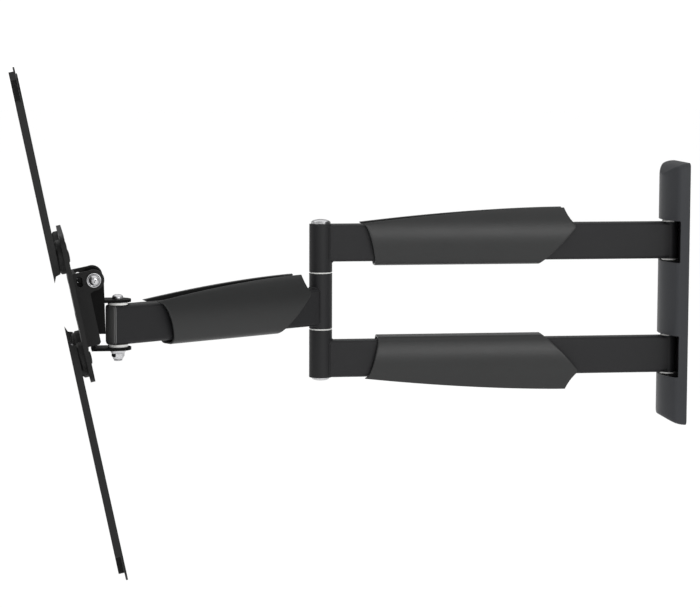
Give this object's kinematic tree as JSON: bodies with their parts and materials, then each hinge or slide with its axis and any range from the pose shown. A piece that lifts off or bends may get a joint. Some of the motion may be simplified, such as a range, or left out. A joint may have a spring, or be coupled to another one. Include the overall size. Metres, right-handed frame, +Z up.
{
  "type": "full motion tv wall mount",
  "caption": "Articulated TV wall bracket: twin parallel arms, a single second arm, a swivelling and tilting head and diagonal sliding extension arms.",
  "frame": {"origin": "centre of the wall plate's back face, where it meets the wall", "axes": "+Z up along the wall, +Y into the wall so the mount reaches out along -Y, +X to the right of someone facing the wall"},
  "size_m": [0.427, 0.6514, 0.4185],
  "materials": {
    "bracket_steel": "satin",
    "arm_steel": "satin",
    "yoke_steel": "satin",
    "head_steel": "satin",
    "wall_cover_plastic": "satin",
    "arm_cover_plastic": "matte",
    "zinc_steel": "satin",
    "nylon": "matte"
  },
  "bodies": {
    "wall_bracket": {"wall_plate": "bracket_steel", "upper_pivot_lugs": "bracket_steel", "lower_pivot_lugs": "bracket_steel", "wall_cover": "wall_cover_plastic", "wall_pivot_bolts": "zinc_steel", "wall_pivot_nuts": "zinc_steel", "wall_pivot_washers": "nylon"},
    "first_arm": {"upper_arm": "arm_steel", "lower_arm": "arm_steel", "upper_arm_cover": "arm_cover_plastic", "lower_arm_cover": "arm_cover_plastic", "wall_bushings": "nylon", "elbow_bolt": "zinc_steel", "elbow_dome_nut": "zinc_steel", "elbow_washers": "nylon"},
    "second_arm": {"second_arm": "arm_steel", "second_arm_cover": "arm_cover_plastic", "second_arm_end_cap": "arm_cover_plastic", "elbow_bushings": "nylon", "swivel_sleeve": "zinc_steel"},
    "yoke": {"swivel_yoke": "yoke_steel", "swivel_bolt": "zinc_steel", "swivel_nut": "zinc_steel", "swivel_washers": "nylon", "tilt_guide_pins": "yoke_steel", "tilt_bolts": "zinc_steel", "tilt_washers": "zinc_steel", "tilt_nuts": "zinc_steel", "tilt_friction_washers": "nylon"},
    "tilt_head": {"tilt_bracket": "head_steel", "centre_plate": "head_steel", "bracket_rivets": "head_steel", "arm_bolts": "head_steel", "arm_nuts": "zinc_steel"},
    "arm_ur": {"extension_arm_ur": "head_steel"},
    "arm_ul": {"extension_arm_ul": "head_steel"},
    "arm_ll": {"extension_arm_ll": "head_steel"},
    "arm_lr": {"extension_arm_lr": "head_steel"}
  },
  "joints": [
    {"name": "wall_swing", "type": "hinge", "parent": "wall_bracket", "child": "first_arm", "pos_m": [0, -0.0115, 0], "axis": [0, 0, 1], "range_deg": [-72, 72]},
    {"name": "elbow_fold", "type": "hinge", "parent": "first_arm", "child": "second_arm", "pos_m": [0, -0.356, 0], "axis": [0, 0, -1], "range_deg": [-85, 140]},
    {"name": "head_swivel", "type": "hinge", "parent": "second_arm", "child": "yoke", "pos_m": [0.13044, -0.55686, -0.0098], "axis": [0, 0, 1], "range_deg": [-27, 93]},
    {"name": "head_tilt", "type": "hinge", "parent": "yoke", "child": "tilt_head", "pos_m": [0.13044, -0.57896, 0.0326], "axis": [1, 0, 0], "range_deg": [-16.7, 2]},
    {"name": "arm_ur_slide", "type": "slide", "parent": "tilt_head", "child": "arm_ur", "axis": [0.7071, -0.1434, 0.6924], "range_m": [-0.024, 0]},
    {"name": "arm_ul_slide", "type": "slide", "parent": "tilt_head", "child": "arm_ul", "axis": [-0.7071, -0.1434, 0.6924], "range_m": [-0.024, 0]},
    {"name": "arm_ll_slide", "type": "slide", "parent": "tilt_head", "child": "arm_ll", "axis": [-0.7071, 0.1434, -0.6924], "range_m": [-0.024, 0]},
    {"name": "arm_lr_slide", "type": "slide", "parent": "tilt_head", "child": "arm_lr", "axis": [0.7071, 0.1434, -0.6924], "range_m": [-0.024, 0]}
  ]
}
